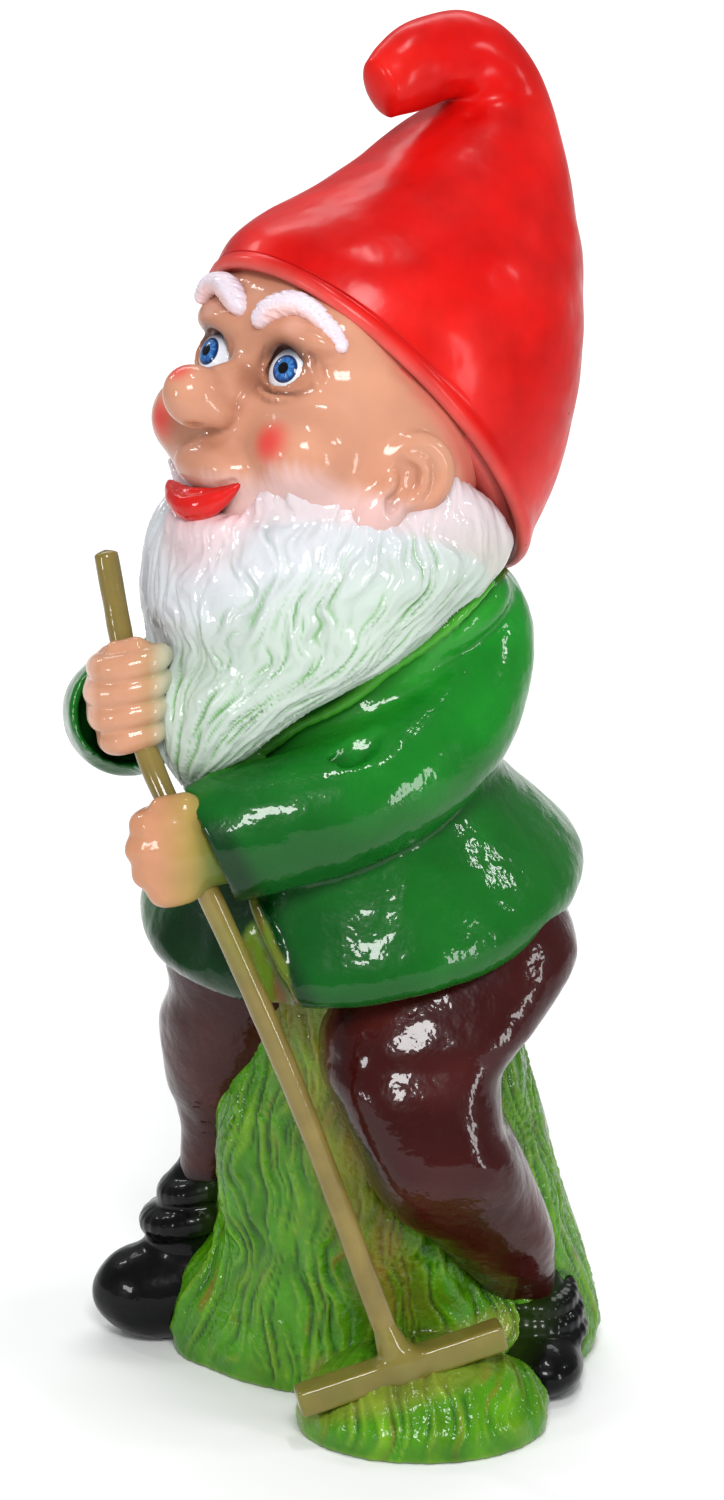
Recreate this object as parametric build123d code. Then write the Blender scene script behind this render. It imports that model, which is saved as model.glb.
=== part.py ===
"""Garden gnome leaning on a rake: a hollow moulded figure standing on a grass mound.

Millimetres. +Z is up, the gnome's front faces -Y and its left hand side is +X. The origin is
on the ground, under the middle of the figure's plan. Body shells are WALL thick and hollow.
"""

from build123d import *

import math
import os

# ---- driving dimensions -------------------------------------------------------------------
WALL = 5.0  # shell thickness of the hollow figure
AXIS = Vector(7, 25.2, 0)  # where the figure's upright axis stands, from the origin
HEAD_TURN = -20.0  # the head looks this many degrees to the gnome's right
MOUND_TURN = 30.0  # the mound's long side runs this many degrees off the X axis
HEAD_LIFT = 30.0  # and its face is raised by this many degrees
HEAD_CENTRE = Vector(3, -36, 491)
HEAD_RADII = (74, 74, 84)  # sideways, front to back, up
CHEEK_RADIUS = 19.0
EYE_RADIUS = 14.0
HANDLE_RADIUS = 5.8
PLATE_RECESS = 4.0  # how far the base plate sits above the ground
PLATE_THICK = 4.0
HOLE_RADIUS = 22.0  # filling hole in the base plate
BUNG_CLEARANCE = 0.08
BUNG_GAP = 0.3  # under the plate, above the bung's flange
BUNG_FLANGE = 2.0

os.makedirs("parts", exist_ok=True)


# ---- helpers ------------------------------------------------------------------------------
def side_of(turn):
    """The sideways direction of something turned about the upright axis."""
    return Vector(math.cos(math.radians(turn)), math.sin(math.radians(turn)), 0)


def front_of(turn):
    """The forward direction of something turned about the upright axis."""
    return Vector(math.sin(math.radians(turn)), -math.cos(math.radians(turn)), 0)


def ring(centre, half_width, half_depth, lean=0.0, turn=0.0):
    """An elliptical section. A positive lean tips its front edge up."""
    tip = math.radians(lean)
    normal = front_of(turn) * -math.sin(tip) + Vector(0, 0, math.cos(tip))
    plane = Plane(origin=AXIS + Vector(*centre), x_dir=side_of(turn), z_dir=normal)
    return plane * Ellipse(half_width, half_depth)


def stack(rows, turn=0.0):
    """A smooth loft through stacked rings of (centre, half width, half depth, lean)."""
    return loft([ring(c, w, d, lean, turn) for c, w, d, lean in rows])


def hollow(rows, turn=0.0):
    """The space inside stacked rings, one wall in from them and straight between them."""
    return loft([ring(c, w - WALL, d - WALL, lean, turn) for c, w, d, lean in rows], ruled=True)


def finer(rows):
    """The same rings with one more, smoothly placed, between each pair."""
    flat = [(*centre, w, d, lean) for centre, w, d, lean in rows]
    flat = [flat[0], *flat, flat[-1]]
    out = []
    for a, b, c, d in zip(flat, flat[1:], flat[2:], flat[3:]):
        mid = [(9 * (q + r) - p - s) / 16 for p, q, r, s in zip(a, b, c, d)]
        out += [(b[:3], *b[3:]), (mid[:3], *mid[3:])]
    return out + [rows[-1]]


def limb(points, radii, inset=0.0):
    """A loft through round sections square to a path."""
    places = [AXIS + Vector(*p) for p in points]
    last = len(places) - 1
    discs = []
    for i, place in enumerate(places):
        along = places[min(i + 1, last)] - places[max(i - 1, 0)]
        plane = Plane(origin=place, x_dir=along.cross(Vector(1, 0, 0)), z_dir=along)
        discs.append(plane * Circle(radii[i] - inset))
    return loft(discs)


def egg(centre, radii, turn=0.0, pitch=0.0):
    """An ellipsoid of (sideways, front to back, up) radii. A positive pitch tips its front up."""
    shape = scale(Sphere(1), by=tuple(float(r) for r in radii))
    place = Location(AXIS + Vector(*centre)) * Rotation(0, 0, turn) * Rotation(-pitch, 0, 0)
    return place * shape


def on_head(sideways, forward, up):
    """A point given from the centre of the turned and lifted head."""
    lift = math.radians(HEAD_LIFT)
    out = forward * math.cos(lift) - up * math.sin(lift)
    rise = forward * math.sin(lift) + up * math.cos(lift)
    return HEAD_CENTRE + side_of(HEAD_TURN) * sideways + front_of(HEAD_TURN) * out + Vector(0, 0, rise)


def less(shape, *others):
    """The shape with the others cut away, keeping only its largest solid."""
    for other in others:
        shape = shape - other
    return max(shape.solids(), key=lambda solid: solid.volume)


PIECES = {}


# ---- head and hat -------------------------------------------------------------------------
HAT_RINGS = [  # from the brim up and over to the curled tip
    ((6, -5, 502), 84, 112, 49),
    ((12, 12, 530), 87, 106, 41),
    ((18, 29, 565), 82, 89, 29),
    ((24, 43, 594), 67, 71, 19),
    ((27, 54, 618), 53, 55, 11),
    ((31, 64, 639), 39, 40, 6),
    ((33, 69, 655), 28, 28, -8),
    ((31, 64, 668), 24, 25, -32),
    ((27, 53, 677), 21, 21, -55),
    ((22, 39, 680), 18, 18, -76),
    ((16, 22, 677), 15, 16, -96),
    ((12, 9, 670), 10, 10, -112),
    ((10, 3, 666), 5, 5, -122),
]
HOLLOW_RINGS = 6  # the hat is hollow up to this ring, and its curled tip is solid

cheeks = [egg(on_head(hand * 40, 54, -16), (CHEEK_RADIUS,) * 3) for hand in (1, -1)]
head_outer = egg(HEAD_CENTRE, HEAD_RADII, HEAD_TURN, HEAD_LIFT) + cheeks
head_inner = egg(HEAD_CENTRE, [r - WALL for r in HEAD_RADII], HEAD_TURN, HEAD_LIFT)
hat_outer = loft([ring(c, w, d, lean, HEAD_TURN) for c, w, d, lean in finer(HAT_RINGS)], ruled=True)
hat_inner = hollow(HAT_RINGS[1:HOLLOW_RINGS], HEAD_TURN)

eyes, brows, ears = {}, {}, {}
for name, hand in (("left", 1), ("right", -1)):
    eyes[name] = egg(on_head(hand * 29, 64, 13), (EYE_RADIUS,) * 3)
    brows[name] = egg(on_head(hand * 32, 69, 44), (22, 9, 7), HEAD_TURN + hand * 22, HEAD_LIFT)
    ears[name] = egg(on_head(hand * 72, 5, -6), (8, 18, 26), HEAD_TURN + hand * 12, HEAD_LIFT)
nose = egg(on_head(0, 87, -5), (18, 25, 18), HEAD_TURN, HEAD_LIFT - 8)
lips = egg(on_head(0, 62, -53), (21, 12, 9), HEAD_TURN, HEAD_LIFT)

# ---- beard --------------------------------------------------------------------------------
BEARD_RINGS = [
    ((-24, -111, 339), 7, 6, 0),
    ((-23, -107, 352), 22, 15, 0),
    ((-18, -94, 379), 41, 28, 0),
    ((-9, -70, 402), 68, 50, 2),
    ((-3, -53, 422), 82, 75, 4),
    ((3, -37, 442), 90, 89, 5),
    ((3, -38, 470), 84, 80, 5),
]
beard_outer = stack(BEARD_RINGS, HEAD_TURN)
beard_inner = hollow(BEARD_RINGS[3:-1], HEAD_TURN)

# ---- jacket, sleeves and hands -------------------------------------------------------------
JACKET_RINGS = [
    ((0, 0, 240), 108, 112, -5),
    ((0, 0, 250), 113, 117, -4),
    ((0, 0, 266), 110, 114, -3),
    ((0, -3, 292), 92, 99, 0),
    ((-2, -8, 322), 73, 82, 0),
    ((0, -8, 355), 80, 82, 0),
    ((0, -4, 390), 78, 70, 0),
    ((2, 0, 420), 64, 57, 0),
    ((4, 0, 450), 48, 46, 0),
]
jacket_outer = stack(JACKET_RINGS)
jacket_inner = hollow(JACKET_RINGS[1:8])
FRONT_NOTCH = [(20, 292), (-8, 215), (52, 215)]  # the opening of the jacket's front, as (x, z)
notch_plan = Plane.XZ * make_face(Polyline(*[(x, z) for x, z in FRONT_NOTCH], close=True))
front_notch = Location(AXIS) * extrude(notch_plan, amount=130)
NOTCH_DEPTH = 3.0
notch_core = stack([(c, w - NOTCH_DEPTH, d - NOTCH_DEPTH, lean) for c, w, d, lean in JACKET_RINGS[:5]])

SLEEVES = {
    "left": (
        [(54, 14, 405), (62, 0, 380), (62, -24, 350), (54, -58, 333), (32, -94, 326), (2, -124, 319)],
        [25, 32, 34, 33, 31, 28],
    ),
    "right": (
        [(-50, 12, 406), (-82, -2, 388), (-107, -26, 364), (-106, -56, 355), (-88, -90, 360), (-68, -114, 370)],
        [24, 30, 30, 29, 27, 25],
    ),
}
HANDS = {
    "left": ((-19, -141, 311), (29, 25, 28), -52),
    "right": ((-54, -132, 377), (25, 26, 29), 8),
}
sleeve_outer = {k: limb(p, r) for k, (p, r) in SLEEVES.items()}
sleeve_inner = {k: limb(p[1:-1], r[1:-1], WALL) for k, (p, r) in SLEEVES.items()}
hands = {k: egg(c, r, turn) for k, (c, r, turn) in HANDS.items()}

# ---- rake ---------------------------------------------------------------------------------
BAR_ENDS = (Vector(30, -116, 24), Vector(109, -47, 52))
BAR_SECTION = (15.0, 14.0)
HANDLE_PATH = [(69, -83, 40), (26, -114, 192), (-17, -139, 312), (-46, -133, 360), (-61, -125, 400), (-73, -121, 446)]
SOCKET_LENGTH, SOCKET_RADIUS = 26.0, 10.0

bar_along = (BAR_ENDS[1] - BAR_ENDS[0]).normalized()
bar_middle = AXIS + (BAR_ENDS[0] + BAR_ENDS[1]) * 0.5
bar_plane = Plane(origin=bar_middle, x_dir=bar_along.cross(Vector(0, 0, 1)), z_dir=bar_along)
bar_length = (BAR_ENDS[1] - BAR_ENDS[0]).length
rake_head = extrude(bar_plane * RectangleRounded(*BAR_SECTION, 3), amount=bar_length / 2, both=True)

rake_handle = limb(HANDLE_PATH, [HANDLE_RADIUS] * len(HANDLE_PATH))
handle_foot, handle_above = (AXIS + Vector(*p) for p in HANDLE_PATH[:2])
foot_plane = Plane(origin=handle_foot, z_dir=handle_above - handle_foot)
socket_cone = Cone(SOCKET_RADIUS, HANDLE_RADIUS + 1.5, SOCKET_LENGTH)
socket = foot_plane * Pos(0, 0, SOCKET_LENGTH / 2) * socket_cone

# ---- trousers and boots --------------------------------------------------------------------
TROUSER_LEGS = {
    "left": [
        ((55, -6, 236), 54, 88, 0),
        ((46, -14, 212), 54, 76, 0),
        ((42, -34, 178), 44, 56, 0),
        ((48, -38, 145), 37, 42, 0),
        ((64, -16, 108), 29, 31, 0),
        ((76, 12, 76), 22, 23, 0),
        ((81, 28, 44), 17, 18, 0),
    ],
    "right": [
        ((-48, -8, 236), 54, 84, 0),
        ((-50, -20, 208), 50, 66, 0),
        ((-60, -24, 176), 37, 44, 0),
        ((-68, -20, 145), 29, 32, 0),
        ((-74, -16, 118), 20, 22, 0),
        ((-80, -12, 92), 14, 15, 0),
    ],
}
leg_outer = {k: stack(rows) for k, rows in TROUSER_LEGS.items()}
leg_inner = {k: hollow(rows[:-1]) for k, rows in TROUSER_LEGS.items()}

# each boot: toe centre, toe radii, toe pitch, direction, then the ankle's path and radii
BOOTS = {
    "left": ((99, 12, 23), (25, 34, 26), 0, 42, [(82, 30, 8), (82, 30, 28), (81, 29, 46)], [25, 24, 19]),
    "right": ((-110, -29, 24), (27, 38, 27), 0, -62, [(-100, -18, 28), (-94, -16, 60), (-82, -13, 94)], [26, 26, 16]),
}
boot_outer, boot_cuffs = {}, {}
ground_slab = Pos(0, 0, -100) * Box(600, 600, 200)
for name, (toe, toe_radii, pitch, turn, ankle, ankle_radii) in BOOTS.items():
    toe_cap = egg(toe, toe_radii, turn, pitch)
    boot_outer[name] = (toe_cap + limb(ankle, ankle_radii)) - ground_slab
    top, below = (AXIS + Vector(*p) for p in (ankle[-1], ankle[-2]))
    cuff_plane = Plane(origin=top, z_dir=top - below)
    boot_cuffs[name] = cuff_plane * Torus(ankle_radii[-1] - 0.5, 5.0)

# ---- grass mound, base plate and bung -------------------------------------------------------
MOUND_RINGS = [
    ((2, 26, 0), 113, 84, 0),
    ((6, 25, 22), 109, 83, 0),
    ((7, 24, 50), 98, 79, 0),
    ((9, 14, 98), 86, 74, 0),
    ((11, 6, 147), 76, 68, 0),
    ((9, 0, 200), 67, 64, 0),
    ((8, -4, 244), 61, 60, 0),
]
KNOLL_RINGS = [
    ((70, -61, 0), 64, 52, 0),
    ((70, -59, 14), 64, 52, 0),
    ((72, -54, 30), 55, 44, 0),
    ((76, -46, 46), 36, 30, 0),
]
mound_solid = stack(MOUND_RINGS, MOUND_TURN)
knoll_solid = stack(KNOLL_RINGS, MOUND_TURN)
mound_inner = hollow(MOUND_RINGS, MOUND_TURN)
plate_centre = AXIS + Vector(2, 26, 0)

mound_outer = mound_solid + knoll_solid
plate_ring = Plane(origin=plate_centre + Vector(0, 0, PLATE_RECESS), x_dir=side_of(MOUND_TURN)) * Ellipse(109, 77)
base_plate = extrude(plate_ring, amount=PLATE_THICK)
fill_hole = Location(plate_centre) * Cylinder(HOLE_RADIUS, 60)

bung_radius = HOLE_RADIUS - BUNG_CLEARANCE
bung_bottom = plate_centre + Vector(0, 0, PLATE_RECESS - BUNG_GAP - BUNG_FLANGE)
bung_flange = Location(bung_bottom + Vector(0, 0, BUNG_FLANGE / 2)) * Cylinder(HOLE_RADIUS + 5, BUNG_FLANGE)
bung_body = Location(bung_bottom + Vector(0, 0, BUNG_FLANGE + 6)) * Cylinder(bung_radius, 12)
bung_hollow = Location(bung_bottom + Vector(0, 0, BUNG_FLANGE + 8)) * Cylinder(bung_radius - 3, 12)

# ---- cut the pieces to meet each other ------------------------------------------------------
face_parts = [*eyes.values(), *brows.values(), *ears.values(), nose, lips]

PIECES["hat"] = less(hat_outer, hat_inner, head_inner)
PIECES["head"] = less(head_outer, hat_outer, head_inner, *face_parts)
PIECES["nose"] = less(nose, *eyes.values())
PIECES["lips"] = less(lips, nose)
for name in ("left", "right"):
    PIECES[f"{name}_eye"] = less(eyes[name])
    PIECES[f"{name}_eyebrow"] = less(brows[name], hat_outer, eyes[name])
    PIECES[f"{name}_ear"] = less(ears[name], hat_outer)
PIECES["beard"] = less(beard_outer, head_outer, hat_outer, *ears.values(), nose, lips, beard_inner)
for name in ("left", "right"):
    PIECES[f"{name}_sleeve"] = less(
        sleeve_outer[name], head_outer, hat_outer, beard_outer, hands[name], rake_handle, sleeve_inner[name]
    )
PIECES["jacket"] = less(
    jacket_outer, front_notch - notch_core, head_outer, hat_outer, beard_outer,
    *sleeve_outer.values(), *hands.values(), jacket_inner,
)
for name in ("left", "right"):
    PIECES[f"{name}_hand"] = less(hands[name], beard_outer, rake_handle)
    PIECES[f"{name}_boot"] = less(boot_outer[name], boot_cuffs[name])
    PIECES[f"{name}_boot_cuff"] = less(boot_cuffs[name])
half_space = {
    "left": Location(AXIS + Vector(-300, 0, 0)) * Box(600, 1000, 2000),
    "right": Location(AXIS + Vector(300, 0, 0)) * Box(600, 1000, 2000),
}
for name in ("left", "right"):
    PIECES[f"{name}_trouser_leg"] = less(
        leg_outer[name], jacket_outer, half_space[name], boot_outer[name], boot_cuffs[name], leg_inner[name]
    )
PIECES["rake_head"] = less(rake_head)
PIECES["rake_socket"] = less(socket, rake_head)
PIECES["rake_handle"] = less(rake_handle, rake_head, socket, beard_outer)
PIECES["grass_mound"] = less(
    mound_outer, *leg_outer.values(), *boot_outer.values(), *boot_cuffs.values(), jacket_outer,
    rake_head, socket, rake_handle, mound_inner, base_plate,
)
PIECES["base_plate"] = less(base_plate, fill_hole, *boot_outer.values())
PIECES["fill_bung"] = less(bung_flange + bung_body, bung_hollow)

for name, piece in PIECES.items():
    export_step(piece, f"parts/{name}.step")
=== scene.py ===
"""Looks of the garden gnome: a glossy hand-painted moulding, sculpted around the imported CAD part.

Shapes are modelled as clay, a grid of distances in millimetres measured from the figure's
upright axis, then cast into meshes, carved with grooves and painted point by point.
"""

import itertools
import math

import bpy
import numpy as np
import openvdb
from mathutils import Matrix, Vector


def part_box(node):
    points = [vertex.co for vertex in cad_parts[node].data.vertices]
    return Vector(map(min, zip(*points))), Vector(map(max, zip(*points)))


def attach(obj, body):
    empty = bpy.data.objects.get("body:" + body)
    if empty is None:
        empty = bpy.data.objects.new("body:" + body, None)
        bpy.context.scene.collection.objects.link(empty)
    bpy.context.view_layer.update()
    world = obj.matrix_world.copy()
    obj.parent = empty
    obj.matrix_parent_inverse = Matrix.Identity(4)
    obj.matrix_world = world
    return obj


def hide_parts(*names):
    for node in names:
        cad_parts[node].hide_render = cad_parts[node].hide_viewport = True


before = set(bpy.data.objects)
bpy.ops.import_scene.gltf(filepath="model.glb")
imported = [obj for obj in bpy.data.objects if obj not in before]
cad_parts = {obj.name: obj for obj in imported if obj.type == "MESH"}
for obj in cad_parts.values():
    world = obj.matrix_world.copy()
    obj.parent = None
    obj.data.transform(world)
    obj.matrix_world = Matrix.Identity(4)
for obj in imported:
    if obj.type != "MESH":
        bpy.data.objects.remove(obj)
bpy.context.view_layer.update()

# Millimetres from here on, except where Blender's own metres are named.
BUNG_BOX = [np.array(corner) * 1000 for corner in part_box("fill_bung")]
PLATE_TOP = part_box("base_plate")[1][2] * 1000
BUNG_PLACE = np.array([2.0, 26.0, 0.0])  # from the figure's upright axis
AXIS = (BUNG_BOX[0] + BUNG_BOX[1]) / 2 * (1, 1, 0) - BUNG_PLACE
FINE = 1.0
HEAD_TURN, HEAD_LIFT = -20, 30  # degrees, to the gnome's right and up
VIEW_TURN = 30  # the photo is taken from this far round to the gnome's left


# ---- directions and small maths
def facing(turn=0.0, lift=0.0, roll=0.0):
    """Rows are the sideways, forward and up directions of something turned, lifted and rolled."""
    t, l, r = (math.radians(v) for v in (turn, lift, roll))
    side = np.array([math.cos(t), math.sin(t), 0])
    front = np.array([math.sin(t) * math.cos(l), -math.cos(t) * math.cos(l), math.sin(l)])
    up = np.cross(front, side)
    return np.array([side * math.cos(r) + up * math.sin(r), front, up * math.cos(r) - side * math.sin(r)])


def unit(v):
    """The direction of a vector."""
    return v / np.linalg.norm(v)


UPRIGHT = facing()
UP = np.array([0, 0, 1.0])
HEAD_CENTRE = np.array([3.0, -36.0, 491.0])
HEAD = facing(HEAD_TURN, HEAD_LIFT)
HEAD_SIDE, HEAD_FRONT = facing(HEAD_TURN)[:2]  # level, as the hat and the beard are
VIEW_SIDE, VIEW_FRONT = facing(VIEW_TURN)[:2]


def on_head(side, front, up):
    """A point given from the centre of the turned and lifted head."""
    return HEAD_CENTRE + np.array([side, front, up], float) @ HEAD


def smooth(v, low, high):
    """0 below low, 1 above high, easing between."""
    t = np.clip((v - low) / (high - low), 0, 1)
    return t * t * (3 - 2 * t)


def noise(points, seed=0):
    """Gradient noise, about -1 to 1, at each point."""
    cell = np.floor(points).astype(np.int64)
    f = points - cell
    fade = f * f * f * (f * (f * 6 - 15) + 10)
    total = 0
    for corner in itertools.product((0, 1), repeat=3):
        c = cell + corner
        h = c[:, 0] * 73856093 ^ c[:, 1] * 19349663 ^ c[:, 2] * 83492791 ^ seed * 7919
        h = ((h ^ h >> 13) * 1274126177 & 0xFFFFFFFF) ^ (h >> 7)
        slope = np.stack([(h >> s & 255) / 127.5 - 1 for s in (0, 8, 16)], 1)
        weight = np.prod(np.where(corner, fade, 1 - fade), 1)
        total = total + weight * ((f - corner) * slope).sum(1)
    return total * 1.3


def strand_noise(across, along, seed, shift=0.0):
    """Noise over a surface laid out flat, drawn out along the strands by the scales given."""
    return noise(np.stack([across, along, across * 0 + shift], 1), seed)


def srgb(r, g, b):
    """A paint colour given on the 0 to 255 screen scale, as linear light."""
    c = np.array([r, g, b], float) / 255
    return np.where(c < 0.04045, c / 12.92, ((c + 0.055) / 1.055) ** 2.4)


def mix(under, over, share):
    """Paint laid over paint, by share at each point."""
    return under + (np.asarray(over) - under) * np.asarray(share)[:, None]


def curve(points, count):
    """Evenly numbered points along a smooth line through the rows given."""
    p = np.array(points, float)
    p = np.vstack([2 * p[0] - p[1], p, 2 * p[-1] - p[-2]])
    out = []
    for s in np.linspace(0, len(p) - 3, count):
        i = min(int(s), len(p) - 4)
        u = s - i
        a, b, c, d = p[i : i + 4]
        bend, twist = 2 * a - 5 * b + 4 * c - d, 3 * b - a - 3 * c + d
        out.append(0.5 * (2 * b + (c - a) * u + bend * u * u + twist * u**3))
    return np.array(out)


def blend_min(a, b, k):
    """The smaller of two distances, rounded over k where they meet."""
    if k <= 0:
        return np.minimum(a, b)
    h = np.clip(0.5 + 0.5 * (b - a) / k, 0, 1)
    return b + (a - b) * h - k * h * (1 - h)


# ---- clay shapes: (distance function, lowest corner, highest corner)
def egg(centre, radii, frame_=UPRIGHT):
    """An ellipsoid with a radius along each row of its frame."""
    c, r = np.array(centre, float), np.array(radii, float) * np.ones(3)

    def distance(x, y, z):
        d = (x - c[0], y - c[1], z - c[2])
        p = [m[0] * d[0] + m[1] * d[1] + m[2] * d[2] for m in frame_]
        k0 = np.sqrt(sum((a / b) ** 2 for a, b in zip(p, r)))
        k1 = np.sqrt(sum((a / (b * b)) ** 2 for a, b in zip(p, r)))
        return k0 * (k0 - 1) / np.maximum(k1, 1e-5)

    return distance, c - r.max(), c + r.max()


def rod(a, b, ra, rb):
    """A straight limb with a round section that tapers from ra to rb."""
    a, b = np.array(a, float), np.array(b, float)
    ab, reach = b - a, max(ra, rb)

    def distance(x, y, z):
        p = (x - a[0], y - a[1], z - a[2])
        t = np.clip((p[0] * ab[0] + p[1] * ab[1] + p[2] * ab[2]) / (ab @ ab), 0, 1)
        gap = np.sqrt(sum((q - t * v) ** 2 for q, v in zip(p, ab)))
        return gap - (ra + (rb - ra) * t)

    return distance, np.minimum(a, b) - reach, np.maximum(a, b) + reach


def chain(rows, k=3.0):
    """Rods through rows of (x, y, z, radius), blended."""
    rods = [rod(p[:3], q[:3], p[3], q[3]) for p, q in zip(rows, rows[1:])]

    def distance(x, y, z):
        d = rods[0][0](x, y, z)
        for other in rods[1:]:
            d = blend_min(d, other[0](x, y, z), k)
        return d

    return distance, np.min([r[1] for r in rods], 0), np.max([r[2] for r in rods], 0)


def tube(rows, count, k, place=None):
    """A smooth limb through rows of (x, y, z, radius), which place carries to where they belong."""
    line = [tuple(q) for q in curve(rows, count)]
    if place:
        line = [(*place(*q[:3]), q[3]) for q in line]
    return chain(line, k)


def column(rows, turn=0.0, ends=4.0, power=2.0):
    """A stack of oval rings (x, y, z, half width, half depth, lean), squarer for a higher power."""
    table = curve(rows, 160)
    side, front = facing(turn)[0], facing(turn)[1]

    def at(h, i):
        return np.interp(h, table[:, 2], table[:, i])

    def distance(x, y, z):
        h = z
        if np.any(table[:, 5]):
            out = (x - at(z, 0)) * front[0] + (y - at(z, 1)) * front[1]
            h = z - np.tan(np.radians(at(z, 5))) * out
        dx, dy = x - at(h, 0), y - at(h, 1)
        w, d = at(h, 3), at(h, 4)
        p, q = dx * side[0] + dy * side[1], dx * front[0] + dy * front[1]
        k0 = (np.abs(p / w) ** power + np.abs(q / d) ** power) ** (1 / power)
        k1 = np.sqrt((p / w**2) ** 2 + (q / d**2) ** 2)
        wall = (k0 - 1) * np.sqrt((p / w) ** 2 + (q / d) ** 2) / np.maximum(k1, 1e-5)
        middle, half = (table[0, 2] + table[-1, 2]) / 2, (table[-1, 2] - table[0, 2]) / 2
        return -blend_min(-wall, half - np.abs(h - middle), ends)

    r = np.array([r[:3] for r in rows], float)
    reach = max(max(row[3:5]) for row in rows)
    return distance, r.min(0) - (reach, reach, 18), r.max(0) + (reach, reach, 18)


def slab(centre, half, frame_=UPRIGHT, round_=1.0):
    """A block with rounded edges."""
    c, half = np.array(centre, float), np.array(half, float)

    def distance(x, y, z):
        d = (x - c[0], y - c[1], z - c[2])
        along = [np.abs(m[0] * d[0] + m[1] * d[1] + m[2] * d[2]) for m in frame_]
        q = [v - (b - round_) for v, b in zip(along, half)]
        outside = np.sqrt(sum(np.maximum(v, 0) ** 2 for v in q))
        return outside + np.minimum(np.maximum(np.maximum(q[0], q[1]), q[2]), 0) - round_

    reach = np.linalg.norm(half)
    return distance, c - reach, c + reach


def beyond(point, direction, reach):
    """A near-flat cutter: a large ball that starts at a point and lies in a direction."""
    way = unit(np.array(direction, float))
    return egg(np.array(point, float) + way * reach, reach)


class Clay:
    """A block of space that shapes are added to and cut from."""

    def __init__(self, low, high, step):
        """An empty block between two corners, with points a step apart."""
        self.low, self.step = np.array(low, float), step
        count = np.ceil((np.array(high) - low) / step).astype(int) + 1
        self.ticks = [(self.low[i] + step * np.arange(count[i])).astype(np.float32) for i in range(3)]
        self.d = np.full(count, 40, np.float32)

    def _reach(self, low, high, pad):
        """The part of the grid near a shape, and its coordinates."""
        cells = []
        for i, ticks in enumerate(self.ticks):
            a = np.searchsorted(ticks, low[i] - pad)
            cells.append(slice(a, max(a, np.searchsorted(ticks, high[i] + pad))))
        x, y, z = (ticks[c] for ticks, c in zip(self.ticks, cells))
        return tuple(cells), x[:, None, None], y[None, :, None], z[None, None, :]

    def add(self, shape, k=0.0):
        """Joins a shape on, with a fillet of about k."""
        where, x, y, z = self._reach(shape[1], shape[2], k + 4)
        self.d[where] = blend_min(self.d[where], shape[0](x, y, z), k)
        return self

    def cut(self, shape, k=0.0):
        """Takes a shape away, with edges rounded by about k."""
        where, x, y, z = self._reach(shape[1], shape[2], k + 4)
        self.d[where] = -blend_min(-self.d[where], shape[0](x, y, z), k)
        return self

    def level(self, z0, k=0.0):
        """Cuts everything below a height."""
        below = z0 - self.ticks[2][None, None, :]
        self.d = -blend_min(-self.d, -below * np.ones_like(self.d), k)
        return self

    def open_foot(self, wall, top):
        """Hollows the foot up to a height, inside a wall."""
        above = self.ticks[2][None, None, :] - top
        self.d = np.maximum(self.d, -np.maximum(self.d + wall, above))
        return self


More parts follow.
